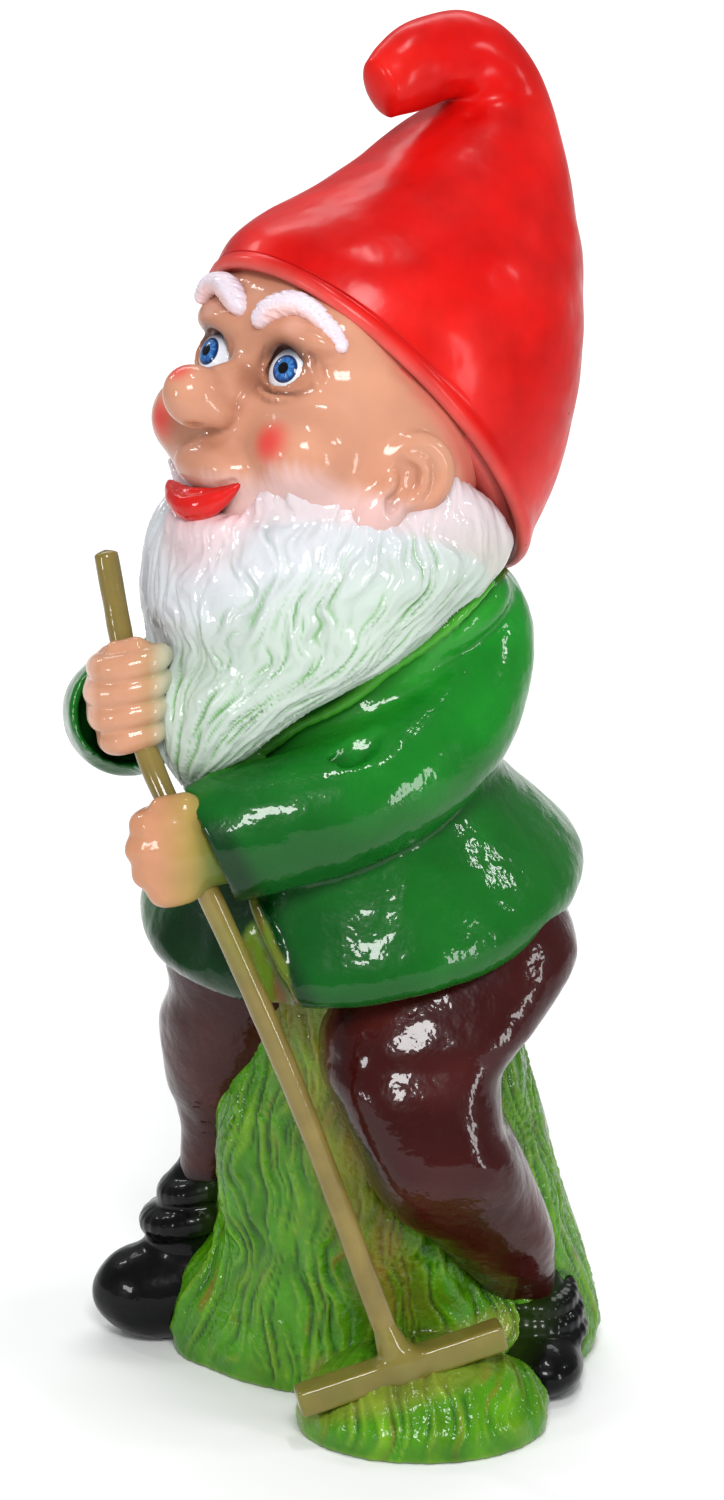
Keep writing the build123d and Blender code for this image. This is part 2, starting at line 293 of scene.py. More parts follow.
# ---- casting: clay to mesh
class Cast:
    """A mesh as arrays, in millimetres, while it is carved and painted."""

    def __init__(self, points, quads):
        self.p, self.quads = np.asarray(points, float), np.asarray(quads, np.int64)

    @classmethod
    def of(cls, clay, relax):
        """The clay's surface as evened quads."""
        grid = openvdb.FloatGrid(40.0)
        grid.copyFromArray(clay.d)
        points, quads = grid.convertToQuads(0.0)
        made = cls(points * clay.step + clay.low, quads[:, ::-1])
        return made.outward(made.p.mean(0)).relax(relax)

    def outward(self, centre):
        """Turns the faces to look away from a centre, or from one centre for each point."""
        if (self.normals() * (self.p - centre)).sum() < 0:
            self.quads = self.quads[:, ::-1]
        return self

    def _mean(self, values):
        """The mean of each point's neighbours."""
        a = self.quads.ravel()
        b = np.roll(self.quads, 1, 1).ravel()
        n = len(self.p)
        count = np.bincount(a, minlength=n) + np.bincount(b, minlength=n)
        sums = [np.bincount(a, v[b], n) + np.bincount(b, v[a], n) for v in values.T]
        return np.stack(sums, 1) / np.maximum(count, 1)[:, None]

    def relax(self, times, keep=0.52):
        """Evens the surface without shrinking it."""
        for _ in range(times):
            self.p += (self._mean(self.p) - self.p) * 0.5
            self.p -= (self._mean(self.p) - self.p) * keep
        return self

    def normals(self):
        """The unit normal at each point."""
        a, b, c, d = (self.p[self.quads[:, i]] for i in range(4))
        corners, face = self.quads.ravel(), np.cross(c - a, d - b)
        n = np.stack([np.bincount(corners, np.repeat(v, 4), len(self.p)) for v in face.T], 1)
        return n / np.maximum(np.linalg.norm(n, axis=1), 1e-9)[:, None]

    def hollowness(self, times=12):
        """Above 0 in grooves and creases, below 0 on ridges, in millimetres."""
        even = self.p.copy()
        for _ in range(times):
            even += (self._mean(even) - even) * 0.8
        return ((even - self.p) * self.normals()).sum(1)

    def carve(self, height):
        """Moves each point out along its normal."""
        self.p += self.normals() * np.asarray(height)[:, None]
        return self

    def coat(self, colour):
        """One paint over every point, to lay others on."""
        self.paint = np.tile(srgb(*colour), (len(self.p), 1))

    def lay(self, colour, share):
        """Lays more paint over what is there, by share at each point."""
        self.paint = mix(self.paint, srgb(*colour), share)

    def dent(self, *waves):
        """Gentle unevenness, from rows of (size, height, seed)."""
        self.carve(sum(noise(self.p / size, seed) * height for size, height, seed in waves))

    def piece(self, name, nodes, slot, material, body="figure"):
        """Makes the Blender object that stands in for CAD nodes and rides on their body."""
        mesh = bpy.data.meshes.new(name)
        n, m = len(self.p), len(self.quads)
        mesh.vertices.add(n)
        mesh.vertices.foreach_set("co", ((self.p + AXIS) / 1000).astype(np.float32).ravel())
        mesh.loops.add(m * 4)
        mesh.loops.foreach_set("vertex_index", self.quads.astype(np.int32).ravel())
        mesh.polygons.add(m)
        mesh.polygons.foreach_set("loop_start", np.arange(0, m * 4, 4, dtype=np.int32))
        mesh.update(calc_edges=True)
        mesh.validate()
        mesh.shade_smooth()
        layer = mesh.color_attributes.new("paint", "FLOAT_COLOR", "POINT")
        rgba = np.ones((n, 4), np.float32)
        rgba[:, :3] = np.clip(self.paint, 0, 1)
        layer.data.foreach_set("color", rgba.ravel())
        obj = bpy.data.objects.new(name, mesh)
        bpy.context.scene.collection.objects.link(obj)
        mesh.materials.append(material)
        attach(obj, body)
        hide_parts(*nodes)


def skin_of_rings(rings, around):
    """A Cast over rows of (centre, one radius vector, the other), with each point's turn and place along."""
    turns = np.linspace(0, 2 * np.pi, around, endpoint=False)
    points = [c + np.cos(turns)[:, None] * a + np.sin(turns)[:, None] * b for c, a, b in rings]
    n = len(points)
    rows, here = np.meshgrid(np.arange(n - 1) * around, np.arange(around), indexing="ij")
    there = (here + 1) % around
    quads = np.stack([rows + here, rows + there, rows + around + there, rows + around + here], 2)
    made = Cast(np.vstack(points), quads.reshape(-1, 4))
    return made, np.tile(turns, n), np.repeat(np.arange(n) / (n - 1), around)


# ---- paint
def fill(node, **inputs):
    """Sets a node's inputs to values, or feeds them from other nodes' outputs."""
    for key, value in inputs.items():
        socket = node.inputs[key.replace("_", " ")]
        if isinstance(value, bpy.types.NodeSocket):
            node.id_data.links.new(value, socket)
        else:
            socket.default_value = value


def new_material(name):
    """A material, its shader, and a function that adds a node and gives one of its outputs."""
    m = bpy.data.materials.new(name)
    m.use_nodes = True

    def add(kind, output, **inputs):
        node = m.node_tree.nodes.new("ShaderNode" + kind)
        fill(node, **inputs)
        return node.outputs[output]

    return m, m.node_tree.nodes["Principled BSDF"], add


def enamel(name, rough=0.3, coat=0.45, ripple=0.25, ripple_size=9.0, grain=0.05, tint=0.06, sheen=0.03):
    """Glossy painted plastic: colour from the piece's paint, a clear coat and an uneven surface.

    ripple is the strength of the waves that break up the highlights and ripple_size their
    width in mm, grain the strength of the fine pits, tint how much the brush varies the
    colour, rough the paint's own roughness and sheen the clear coat's.
    """
    m, shader, add = new_material(name)
    fill(shader, Coat_Weight=coat, Coat_Roughness=sheen, Specular_IOR_Level=0.08)
    where = add("TexCoord", "Object")
    paint = add("Attribute", "Color")
    paint.node.attribute_name = "paint"

    def texture(size, detail):
        return add("TexNoise", "Fac", Scale=1000 / size, Detail=detail, Vector=where)

    def scaled(value, low, high):
        return add("MapRange", "Result", From_Min=0.25, From_Max=0.75, To_Min=low, To_Max=high, Value=value)

    shift = tint * 2.2
    colour = add("HueSaturation", "Color", Color=paint, Value=scaled(texture(26, 4), 1 - shift, 1 + shift))
    fill(shader, Base_Color=colour, Roughness=scaled(texture(14, 3), rough * 0.7, rough * 1.35))
    wave = add("Bump", "Normal", Strength=ripple, Distance=0.0012, Height=texture(ripple_size, 2))
    fine = add("Bump", "Normal", Strength=grain, Distance=0.0003, Height=texture(1.6, 2), Normal=wave)
    fill(shader, Normal=fine, Coat_Normal=fine)
    return m


RED, GREEN, BROWN = (190, 12, 9), (11, 92, 22), (50, 8, 7)
SKIN, BLUSH, SHADE = (188, 132, 106), (206, 58, 54), (128, 78, 60)
WHITE, PINK, MOSS = (197, 200, 204), (226, 150, 150), (120, 176, 96)
BLACK, KHAKI, OLIVE = (4, 4, 5), (124, 108, 54), (98, 104, 24)

gloss = enamel("painted_gloss", ripple=0.55, ripple_size=8, grain=0.1, sheen=0.05)
boot_black = enamel("painted_boot", coat=0.24, ripple=0.45, ripple_size=10, sheen=0.04)
felt = enamel("painted_hat", rough=0.38, coat=0.16, ripple=0.35, ripple_size=15, sheen=0.18, tint=0.08)
flesh = enamel("painted_skin", rough=0.36, ripple=0.3, ripple_size=10, tint=0.03, sheen=0.07)
hair = enamel("painted_hair", rough=0.36, coat=0.6, ripple=0.3, ripple_size=6, tint=0.03, sheen=0.05)
wet_grass = enamel("painted_grass", rough=0.32, coat=0.48, ripple=0.9, ripple_size=4, tint=0.16, sheen=0.02)
khaki = enamel("painted_rake", rough=0.34, coat=0.7, ripple=0.15, tint=0.1, sheen=0.06)

# ---- hat
HAT = [  # centre, half width, half depth, lean of each ring, from the brim to the curled tip
    (6, -5, 502, 84, 112, 49),
    (12, 12, 530, 87, 106, 41),
    (18, 29, 565, 82, 89, 29),
    (24, 43, 594, 67, 71, 19),
    (27, 54, 618, 53, 55, 11),
    (31, 64, 639, 39, 40, 6),
    (33, 69, 655, 29, 29, -8),
    (31, 64, 668, 25, 25, -32),
    (27, 53, 675, 21, 24, -55),
    (22, 39, 676, 19.5, 23, -76),
    (16, 23, 672, 18, 22, -94),
    (12, 10, 667, 15.5, 19, -104),
    (10, 3, 663, 12.5, 16, -110),
]
HAT_FOLD = ((34, 24, 664), (44, 44, 640), 5, -2.6)  # a crease: two ends, width, height
HAT_INSIDE = np.array([3.0, -34.0, 506.0])  # what the hollow under the brim closes on
HAT_HOLLOW = [  # share of the way inside, rise, width and depth as shares of the brim's
    (0.9, 16, 0.72, 0.56),
    (0.75, 9, 0.80, 0.66),
    (0.5, 4, 0.86, 0.76),
    (0.25, 1.5, 0.90, 0.85),
]
HAT_BRIM = [  # rise and inset of the rolled edge, from inside to outside
    (4, 8.8),
    (2.4, 7.8),
    (-0.8, 6.6),
    (-0.2, 5.2),
    (-2, 4),
    (-3, 2),
    (-2.4, 0),
    (-0.6, -1.4),
    (1.8, -1.8),
    (4, -1.2),
    (6, -0.3),
]


def hat_ring(row):
    """The centre and two radius vectors of a leaning ring."""
    tip = math.radians(row[5])
    across = HEAD_FRONT * math.cos(tip) + UP * math.sin(tip)
    return np.array(row[:3]), HEAD_SIDE * row[3], across * row[4]


def make_hat():
    rings = [hat_ring(r) for r in curve(HAT, 300)]
    c, a, b = rings[0]
    up = unit(np.cross(b, a))
    brim = [(c + (HAT_INSIDE - c) * share + up * rise, a * w, b * d) for share, rise, w, d in HAT_HOLLOW]
    for rise, inset in HAT_BRIM:
        brim.append((c + up * rise, a * (1 - inset / HAT[0][3]), b * (1 - inset / HAT[0][4])))
    rings = brim + [r for r in rings if (r[0] - c) @ up > 8]
    tip, a, b = rings[-1]
    on = unit(tip - rings[-3][0])
    for turn in np.arange(1, 8) / 7 * math.pi / 2:  # the tip's round end
        rings.append((tip + on * 5 * math.sin(turn), a * math.cos(turn) + 1e-3, b * math.cos(turn) + 1e-3))
    made, _, along = skin_of_rings(rings, 240)
    made.outward(made.p.mean(0))

    dents = noise(made.p / 55, 3) * 2.0 + noise(made.p / 22, 5) * 0.7 + noise(made.p / 10, 7) * 0.15
    a, b = (np.array(end, float) for end in HAT_FOLD[:2])
    width, height = HAT_FOLD[2:]
    t = np.clip((made.p - a) @ (b - a) / ((b - a) @ (b - a)), 0, 1)
    away = np.linalg.norm(made.p - a - t[:, None] * (b - a), axis=1)
    fold = height * np.exp(-((away / width) ** 2)) * (1 - 0.7 * np.abs(2 * t - 1) ** 2)
    made.carve(dents * smooth(along, 0.06, 0.2) + fold)
    h = made.hollowness(8)
    made.coat(RED)
    made.lay((225, 40, 30), smooth(noise(made.p / 60, 9), -0.2, 0.7) * 0.5)
    # painted shade: darker red in the hat's folds and hollows
    made.lay((150, 10, 10), smooth(h, 0.3, 1.5) * 0.6)
    edge = smooth(-along, -13 / len(rings), -9 / len(rings))  # pale to ring 9, gone by ring 13
    made.lay((206, 96, 88), edge * 0.8)
    made.piece("hat_shell", ["hat"], "red_paint", felt)


# ---- face
EYES = {"left": on_head(25.8, 56, 17.6), "right": on_head(-28.5, 56.5, 18.4)}
SIDES = [(1, EYES["left"]), (-1, EYES["right"])]
EYE_RADIUS = 15.2
BROWS = {
    "left": [
        (8, 78, 35),
        (11, 78, 40),
        (18, 77, 45),
        (26, 75, 47.5),
        (34, 70, 46),
        (42, 63, 41),
        (47, 58, 36),
    ],
    "right": [
        (-9, 78, 39),
        (-16, 79.5, 44),
        (-24, 80, 48),
        (-32, 79.5, 49),
        (-39, 78, 47),
        (-44, 75.5, 42),
    ],
}


def add_eye_surround(clay, s, eye):
    """Brow bone, cheek, socket, lids and smile line; s is 1 on the left and -1 on the right."""
    far = 3 if s < 0 else 0  # the gnome's right side is fuller
    tilt = HEAD_TURN + s * 6
    clay.cut(egg(on_head(s * 28, 77, 13), (17, 12, 12), HEAD), 9)
    clay.add(egg(on_head(s * 39, 48 + far, -17 + far * 1.6), (25, 24, 22), HEAD), 8)
    brow_way = facing(HEAD_TURN + s * 16, HEAD_LIFT, -s * 6)
    clay.add(egg(on_head(s * 28, 66 + far, 33), (20, 10, 7), brow_way), 6)
    clay.add(egg(eye, EYE_RADIUS + 2), 2)
    opening = eye + HEAD[1] * 13 - HEAD[0] * s * 0.6
    clay.cut(egg(opening, (12.9, 17, 9.9), facing(tilt, HEAD_LIFT, -s * 5)), 0.8)
    for up, wide in ((0, 1.8), (4.4, 1.5)):
        fold = [
            (s * 11, 67, 14 + up, 1.2),
            (s * 15, 71.5, 25 + up, wide),
            (s * 25, 72.5 - up * 0.3, 30.5 + up, wide),
            (s * 36, 67 - up * 0.3, 27 + up, wide),
            (s * 44, 58, 14 + up, 1.1),
        ]
        clay.add(tube(fold, 12, 1, on_head), 1)
    lid = [(s * 11, 67, 14, 1.2), (s * 25, 72.5, 30, 1.2), (s * 44, 58, 14, 1.1)]
    clay.add(tube(lid, 12, 1, on_head), 1)
    under = [(s * 11, 66, 8, 1.0), (s * 21, 70, 2.5, 1.5), (s * 32, 67, 2.5, 1.5), (s * 42, 58, 8, 1.0)]
    clay.add(tube(under, 10, 1, on_head), 1.5)
    smile = [(s * 13, 79, -12, 1.2), (s * 19, 75, -21, 2.0), (s * 24, 71, -30, 2.2), (s * 29, 66, -40, 1.4)]
    clay.cut(tube(smile, 10, 1, on_head), 3)


def add_ear(clay, s):
    side, front, up = facing(HEAD_TURN - s * 20, 24)
    out = side * s
    top, lobe = on_head(s * 73, 7, -4), on_head(s * 69, 14, -31)
    ear = (side, front, up)
    clay.add(egg(top, (7.5, 20, 20), ear), 3)
    clay.add(egg(lobe, (7, 12, 16), ear), 5)
    clay.cut(egg(top + out * 7.5 + front * 1, (5.5, 15, 15), ear), 1.5)
    clay.cut(egg((top + lobe) / 2 + out * 7 + front * 3, (5, 5, 9), ear), 2)
    ridge = [
        top + out * 3 + front * 8 + up * 7,
        top + out * 3.5 + up * 5 - front * 1,
        top + out * 3.5 - front * 5 - up * 4,
        top + out * 3.5 - front * 3 - up * 13,
    ]
    clay.add(chain([(*q, 2.3) for q in curve(ridge, 8)], 2), 2.5)
    clay.add(egg(top + out * 4 + front * 12 - up * 9, (4, 4, 6), ear), 3)


def make_face():
    clay = Clay((-108, -150, 400), (104, 40, 590), 1.15 * FINE)
    clay.add(egg(HEAD_CENTRE, (74, 74, 84), HEAD))
    clay.add(egg(on_head(0, 36, 44), (56, 43, 36), HEAD), 10)
    clay.add(egg(on_head(-24, 50, 52), (30, 26, 18), HEAD), 10)
    clay.add(egg(on_head(-36, 62, 38), (14, 13, 9), HEAD), 6)
    for s, eye in SIDES:
        add_eye_surround(clay, s, eye)
    clay.add(chain([(*on_head(0, 62, 16), 10), (*on_head(0, 74, 0), 11), (*on_head(0, 89, -11), 13)], 6), 4)
    clay.add(egg(on_head(0, 90, -11), (14, 17, 14.5), facing(HEAD_TURN, 40)), 3)
    for s, _ in SIDES:
        clay.add(egg(on_head(s * 9, 80, -14), (6.5, 10, 6.5), HEAD), 4)
        clay.cut(egg(on_head(s * 5, 85, -24), (3, 6, 4), HEAD), 2)
    clay.add(egg(on_head(0, 61, -36), (26, 17, 13), HEAD), 6)
    mouth = [(-25, 66, -49, 2), (-13, 70, -54, 5), (0, 71, -56.5, 7), (12, 69, -53, 5), (22, 66, -42, 2)]
    clay.cut(tube(mouth, 9, 3, on_head), 2)
    for s, _ in SIDES:
        add_ear(clay, s)
    made = Cast.of(clay, 3)
    made.dent((26, 0.5, 2), (11, 0.15, 12))
    paint_face(made)
    made.piece("face", ["head", "nose", "left_ear", "right_ear"], "skin_paint", flesh)


def paint_face(made):
    p, h = made.p, made.hollowness(16)
    side, front, up = ((p - HEAD_CENTRE) @ HEAD.T).T

    def near(centre, inner, outer):
        return smooth(-np.linalg.norm(p - centre, axis=1), -outer, -inner)

    made.coat(SKIN)
    made.lay((198, 146, 116), smooth(noise(p / 30, 4), -0.4, 0.8) * 0.4)
    # painted shade in the face's hollows and creases
    made.lay(SHADE, smooth(h, 0.2, 1.6) * 0.5)
    for s, eye in SIDES:
        ball = eye + HEAD[1] * 10
        made.lay(BLUSH, near(on_head(s * 41, 70, -20), 2, 15) * 0.9)
        # painted shade round the eye socket
        made.lay((150, 96, 70), near(ball, 12, 23) * 0.6)
        made.lay((60, 42, 40), near(ball, 10, 18) * smooth(up, 16, 23) * 0.85)
        # painted shade in the creases round the eye
        made.lay((96, 60, 50), near(ball, 13, 21) * smooth(h, 0.0, 0.5) * 0.8)
        # painted highlight on the upper lid fold
        made.lay((240, 186, 170), near(on_head(s * 30, 78, 38), 3, 10) * 0.25)
    made.lay(BLUSH, near(on_head(0, 107, -2), 2, 11) * 0.85)
    # painted shade on each side of the root of the nose
    for s in (1, -1):
        made.lay((134, 78, 54), near(on_head(s * 12, 72, 8), 3, 13) * 0.55)
    fringe = 3 * strand_noise(side / 2.2, up / 12, 18)
    low = smooth(-up + 0.37 * np.abs(side) + fringe, 42, 55) * smooth(front, -20, 10)
    made.lay((206, 172, 168), low * 0.85)
    made.lay((206, 92, 84), smooth(up - 0.62 * front + fringe, 10, 28) * 0.6)


def make_lips():
    middle = on_head(0, 64, -52)
    clay = Clay(middle - 42, middle + 42, 0.55 * FINE)
    full = [
        (-25.5, 64, -48.5, 1.2),
        (-19, 65, -52, 4.2),
        (-10, 66, -55.5, 6.6),
        (0, 66, -57, 8),
        (9, 65.5, -54.5, 7),
        (17, 64, -48.5, 4.2),
        (23, 63, -41, 1.2),
    ]
    clay.add(tube(full, 22, 1, on_head), 1)
    parting = [
        (-24, 67, -48, 1.0),
        (-10, 73, -51.5, 2.2),
        (0, 74.5, -52.5, 2.5),
        (10, 72, -49.5, 2.2),
        (22, 65, -41.5, 1.0),
    ]
    clay.cut(tube(parting, 14, 1, on_head), 1.5)
    made = Cast.of(clay, 3)
    made.dent((7, 0.35, 17))
    h = made.hollowness(10)
    made.coat((194, 26, 22))
    # painted shade in the parting between the lips
    made.lay((90, 6, 8), smooth(h, 0.05, 0.7))
    made.piece("lip_pair", ["lips"], "lip_paint", gloss)


def make_eye(name):
    centre = EYES[name]
    aside = 0.25 if name == "left" else -0.03  # each eye looks a little outwards
    gaze = unit(HEAD[1] + HEAD[0] * aside - HEAD[2] * 0.08)
    a = unit(np.cross(gaze, UP))
    b = np.cross(a, gaze)
    rings = []
    for turn in np.concatenate([np.linspace(0.4, 60, 90), np.linspace(62, 179.6, 40)]):
        t = math.radians(turn)
        r = EYE_RADIUS + 0.7 * math.exp(-((turn / 25) ** 4))  # the cornea bulges
        rings.append((centre + gaze * math.cos(t) * r, a * math.sin(t) * r, b * math.sin(t) * r))
    made, around, _ = skin_of_rings(rings, 96)
    made.outward(centre)
    out = made.p - centre
    away = np.degrees(np.arccos(np.clip(out @ gaze / np.linalg.norm(out, axis=1), -1, 1)))
    spokes = noise(np.stack([np.cos(around) * 7, np.sin(around) * 7, away / 14], 1), 4)
    made.coat((216, 220, 228))
    # painted shadow of the upper lid over the top of the eyeball
    made.lay((70, 60, 72), smooth(out @ b, 3, 10) * 0.85)
    iris = mix(srgb(18, 70, 138), srgb(72, 134, 190), smooth(spokes + (0.45 - away / 60), -0.1, 0.6) * 0.7)
    iris = mix(iris, srgb(8, 26, 70), smooth(away, 18, 24) * 0.9)
    made.paint = mix(made.paint, iris, smooth(-away, -27.5, -26))
    made.lay((4, 5, 8), smooth(-away, -11, -10))
    made.piece(f"{name}_eyeball", [f"{name}_eye"], "eye_paint", gloss)


def make_brow(name):
    line = curve(BROWS[name], 24)
    n, i = len(line), np.arange(len(line))
    swell = np.sin(math.pi * np.minimum(1, (i + 2) / (n * 0.62)) ** 0.8 / 1.35)
    girth = 1.7 + 3.7 * swell * (1 - 0.5 * (i / n) ** 2.5)
    rows = np.array([(*on_head(*q), r) for q, r in zip(line, girth)])
    c = rows[:, :3].mean(0)
    clay = Clay(c - 44, c + 44, 0.6 * FINE)
    clay.add(chain([tuple(r) for r in rows], 2))
    made = Cast.of(clay, 2)
    nearest = np.argmin(np.linalg.norm(made.p[:, None] - rows[None, :, :3], axis=2), 1)
    rise = (made.p - rows[nearest, :3]) @ HEAD[2]
    along = nearest * 1.9 + noise(made.p / 8, 6) * 1.5
    strands = 1 - 2 * np.abs(strand_noise(along / 9, rise / 2.6 + along / 7, 8))
    made.carve(strands * 0.75)
    h = made.hollowness(5)
    made.coat((214, 202, 212))
    # painted shade in the grooves between the strands
    made.lay((176, 122, 138), smooth(h, 0.0, 0.7) * 0.8)
    made.lay((222, 168, 152), smooth(-rise, 0.5, 4) * 0.6)
    made.piece(f"{name}_brow_tuft", [f"{name}_eyebrow"], "white_paint", hair)


# ---- beard
BEARD = [
    (-27, -117, 334, 4, 3, 0),
    (-27, -116, 340, 9, 8, 0),
    (-25, -111, 354, 27, 19, 0),
    (-17, -98, 379, 49, 33, 0),
    (-8, -71, 402, 74, 53, 0),
    (-3, -53, 422, 83, 76, 0),
    (3, -38, 442, 90, 88, 0),
    (3, -34, 460, 86, 84, 0),
    (3, -28, 476, 79, 74, 0),
    (4, -24, 490, 72, 64, 0),
]


def cheek_line():
    """What lies above the edge where the beard meets the face."""

    def distance(x, y, z):
        d = (x - HEAD_CENTRE[0], y - HEAD_CENTRE[1], z - HEAD_CENTRE[2])
        side, front, up = (m[0] * d[0] + m[1] * d[1] + m[2] * d[2] for m in HEAD)
        wave = 0.8 * np.sin(side * 0.8 + np.sin(side * 0.31) * 2) + 0.8 * np.sin(side * 0.23 + 1)
        low = np.clip((32 - np.abs(side)) / 16, 0, 1)
        edge = -49.5 + 0.37 * np.abs(side) + wave + np.minimum(1.5 * np.maximum(6 - front, 0), 34) - 8 * low
        return (edge - up) * 0.85

    return distance, HEAD_CENTRE - 110, HEAD_CENTRE + 110


def make_beard():
    clay = Clay((-106, -142, 324), (106, 70, 510), 1.16 * FINE)
    clay.add(column(BEARD, HEAD_TURN, 3))
    clay.add(egg(HEAD_CENTRE, (75.6, 75.6, 85.6), HEAD), 3)
    clay.add(egg(on_head(0, 46, -26), (54, 25, 29), HEAD), 4)
    clay.add(egg(on_head(0, 51, -62), (24, 15, 16), HEAD), 8)
    for s in (1, -1):
        clay.add(egg(on_head(s * 39, 48, -18), (25.8, 25, 22.8), HEAD), 6)
        clay.add(egg(on_head(s * 58, -34, -24), (24, 34, 30), HEAD), 8)
    clay.cut(cheek_line(), 15)
    made = Cast.of(clay, 3)
    p, down = made.p, made.p[:, 2]
    table = curve(BEARD, 120)
    ring = np.stack([np.interp(down, table[:, 2], table[:, i]) for i in range(5)], 1)
    out = p - ring[:, :3]
    around = np.arctan2(out @ HEAD_SIDE / ring[:, 3], out @ HEAD_FRONT / ring[:, 4])
    wander = strand_noise(around * 2.2, down / 38, 11) * 0.15
    wander += strand_noise(around * 7, down / 13, 12) * 0.07
    a = around + wander
    local = (p - HEAD_CENTRE) @ HEAD.T
    top = smooth(local[:, 2] - 0.45 * np.abs(local[:, 0]), -76, -63)
    locks = strand_noise(a * 7, down / 40, 13, 1.5)
    strands = 1 - 2 * np.abs(strand_noise(a * 13, down / 27, 14, 7.5))
    fine = 1 - 2 * np.abs(strand_noise(a * 30, down / 15, 15, 3.5))
    right = smooth(p @ HEAD_SIDE, -10, 60)
    broad = np.interp(down, [334, 345, 372, 400], [0.15, 0.4, 0.8, 1.0])
    hair_depth = locks * 2.0 + strands * (1.3 + 0.9 * right) * broad + fine * 0.7 * broad**2
    made.carve(hair_depth * (1 - 0.55 * top))
    h = made.hollowness(6)
    groove = smooth(h, 0.05, 1.1)
    made.coat(WHITE)
    t = np.linalg.norm(p - on_head(0, 66, -56), axis=1)
    made.lay(PINK, smooth(-t, -46, -18) * (0.35 + 0.4 * groove))
    made.lay(PINK, smooth(top, 0.1, 1.0) * (0.22 + 0.3 * groove))
    edge = smooth(-(down - 0.52 * (p @ HEAD_SIDE)), -424, -376)
    low = smooth(-down, -400, -345)
    # painted shade in the grooves between the strands: grey-green everywhere, moss green low down and by the
    # jacket; the even moss green by the jacket's edge is paint
    made.lay((172, 192, 184), groove * 0.5)
    tinted = np.clip(groove * (0.1 + 0.9 * np.maximum(low * 0.6, edge)) + 0.3 * edge, 0, 1)
    made.lay(MOSS, tinted * 0.9)
    made.lay((66, 136, 56), np.clip(groove * edge * 1.3, 0, 1) * 0.65)
    made.piece("beard_hair", ["beard"], "white_paint", hair)


# ---- jacket
JACKET = [
    (0, 0, 246, 104, 108, -11),
    (0, 0, 254, 110, 115, -11),
    (0, 0, 264, 112, 117, -11),
    (0, 0, 278, 107, 111, -9),
    (0, -3, 298, 92, 99, -5),
    (-1, -7, 314, 80, 88, -2),
    (-2, -9, 328, 75, 82, 0),
    (0, -8, 355, 78, 80, 0),
    (0, -4, 390, 78, 70, 0),
    (2, 0, 420, 66, 58, 0),
    (4, 0, 450, 50, 48, 0),
]
LEFT_SLEEVE = [
    (50, 20, 408, 26),
    (60, 6, 390, 30),
    (63, -18, 364, 31.5),
    (56, -50, 342, 32),
    (38, -84, 328, 31.5),
    (16, -108, 320, 30.5),
    (-8, -128, 313, 30),
]
RIGHT_SLEEVE = [
    (-46, 14, 404, 25),
    (-76, -2, 380, 28),
    (-98, -26, 354, 28),
    (-101, -54, 352, 28),
    (-86, -88, 358, 28.5),
    (-66, -114, 366, 29.5),
]
CUFF_TILT = {"left": -0.22, "right": 0.25}  # how far the cuff's mouth looks up
OPENING = [  # the V at the front of the hem
    (-8, -113, 292, 5),
    (-4, -117, 280, 7),
    (4, -118, 262, 9),
    (11, -117, 245, 10.5),
    (17, -115, 222, 12),
]
RIM = [  # the raised edge beside the beard, from the left forearm to the shoulder
    (-14, -128, 341, 1.8),
    (-6, -112, 349, 2.2),
    (1, -97, 353, 2.6),
    (15, -90, 364, 2.8),
    (32, -82, 374, 3),
    (43, -74, 383, 3),
    (51, -67, 392, 3),
    (65, -51, 404, 3),
    (78, -38, 418, 2.8),
    (84, -20, 430, 2.4),
]
COLLAR = [(44, -56, 382, 6), (58, -40, 397, 8), (71, -26, 409, 9.5), (75, -8, 418, 10), (66, 12, 420, 10)]
ELBOW_CREASES = [  # two ends, and the radius in the middle
    ((48, -100, 353), (57, -80, 368), 5.0),
    ((61, -94, 357), (65, -77, 370), 4.2),
    ((40, -102, 352), (49, -87, 363), 2.8),
]
HANDLE = [  # the rake pole's line, from its foot up
    (69, -83, 40),
    (26, -114, 192),
    (-17, -139, 312),
    (-46, -133, 360),
    (-61, -125, 400),
    (-73, -121, 446),
]


def distance_to(rows, points):
    """How far each point is outside the chain through the rows."""
    return chain([tuple(q) for q in rows])[0](*points.T)


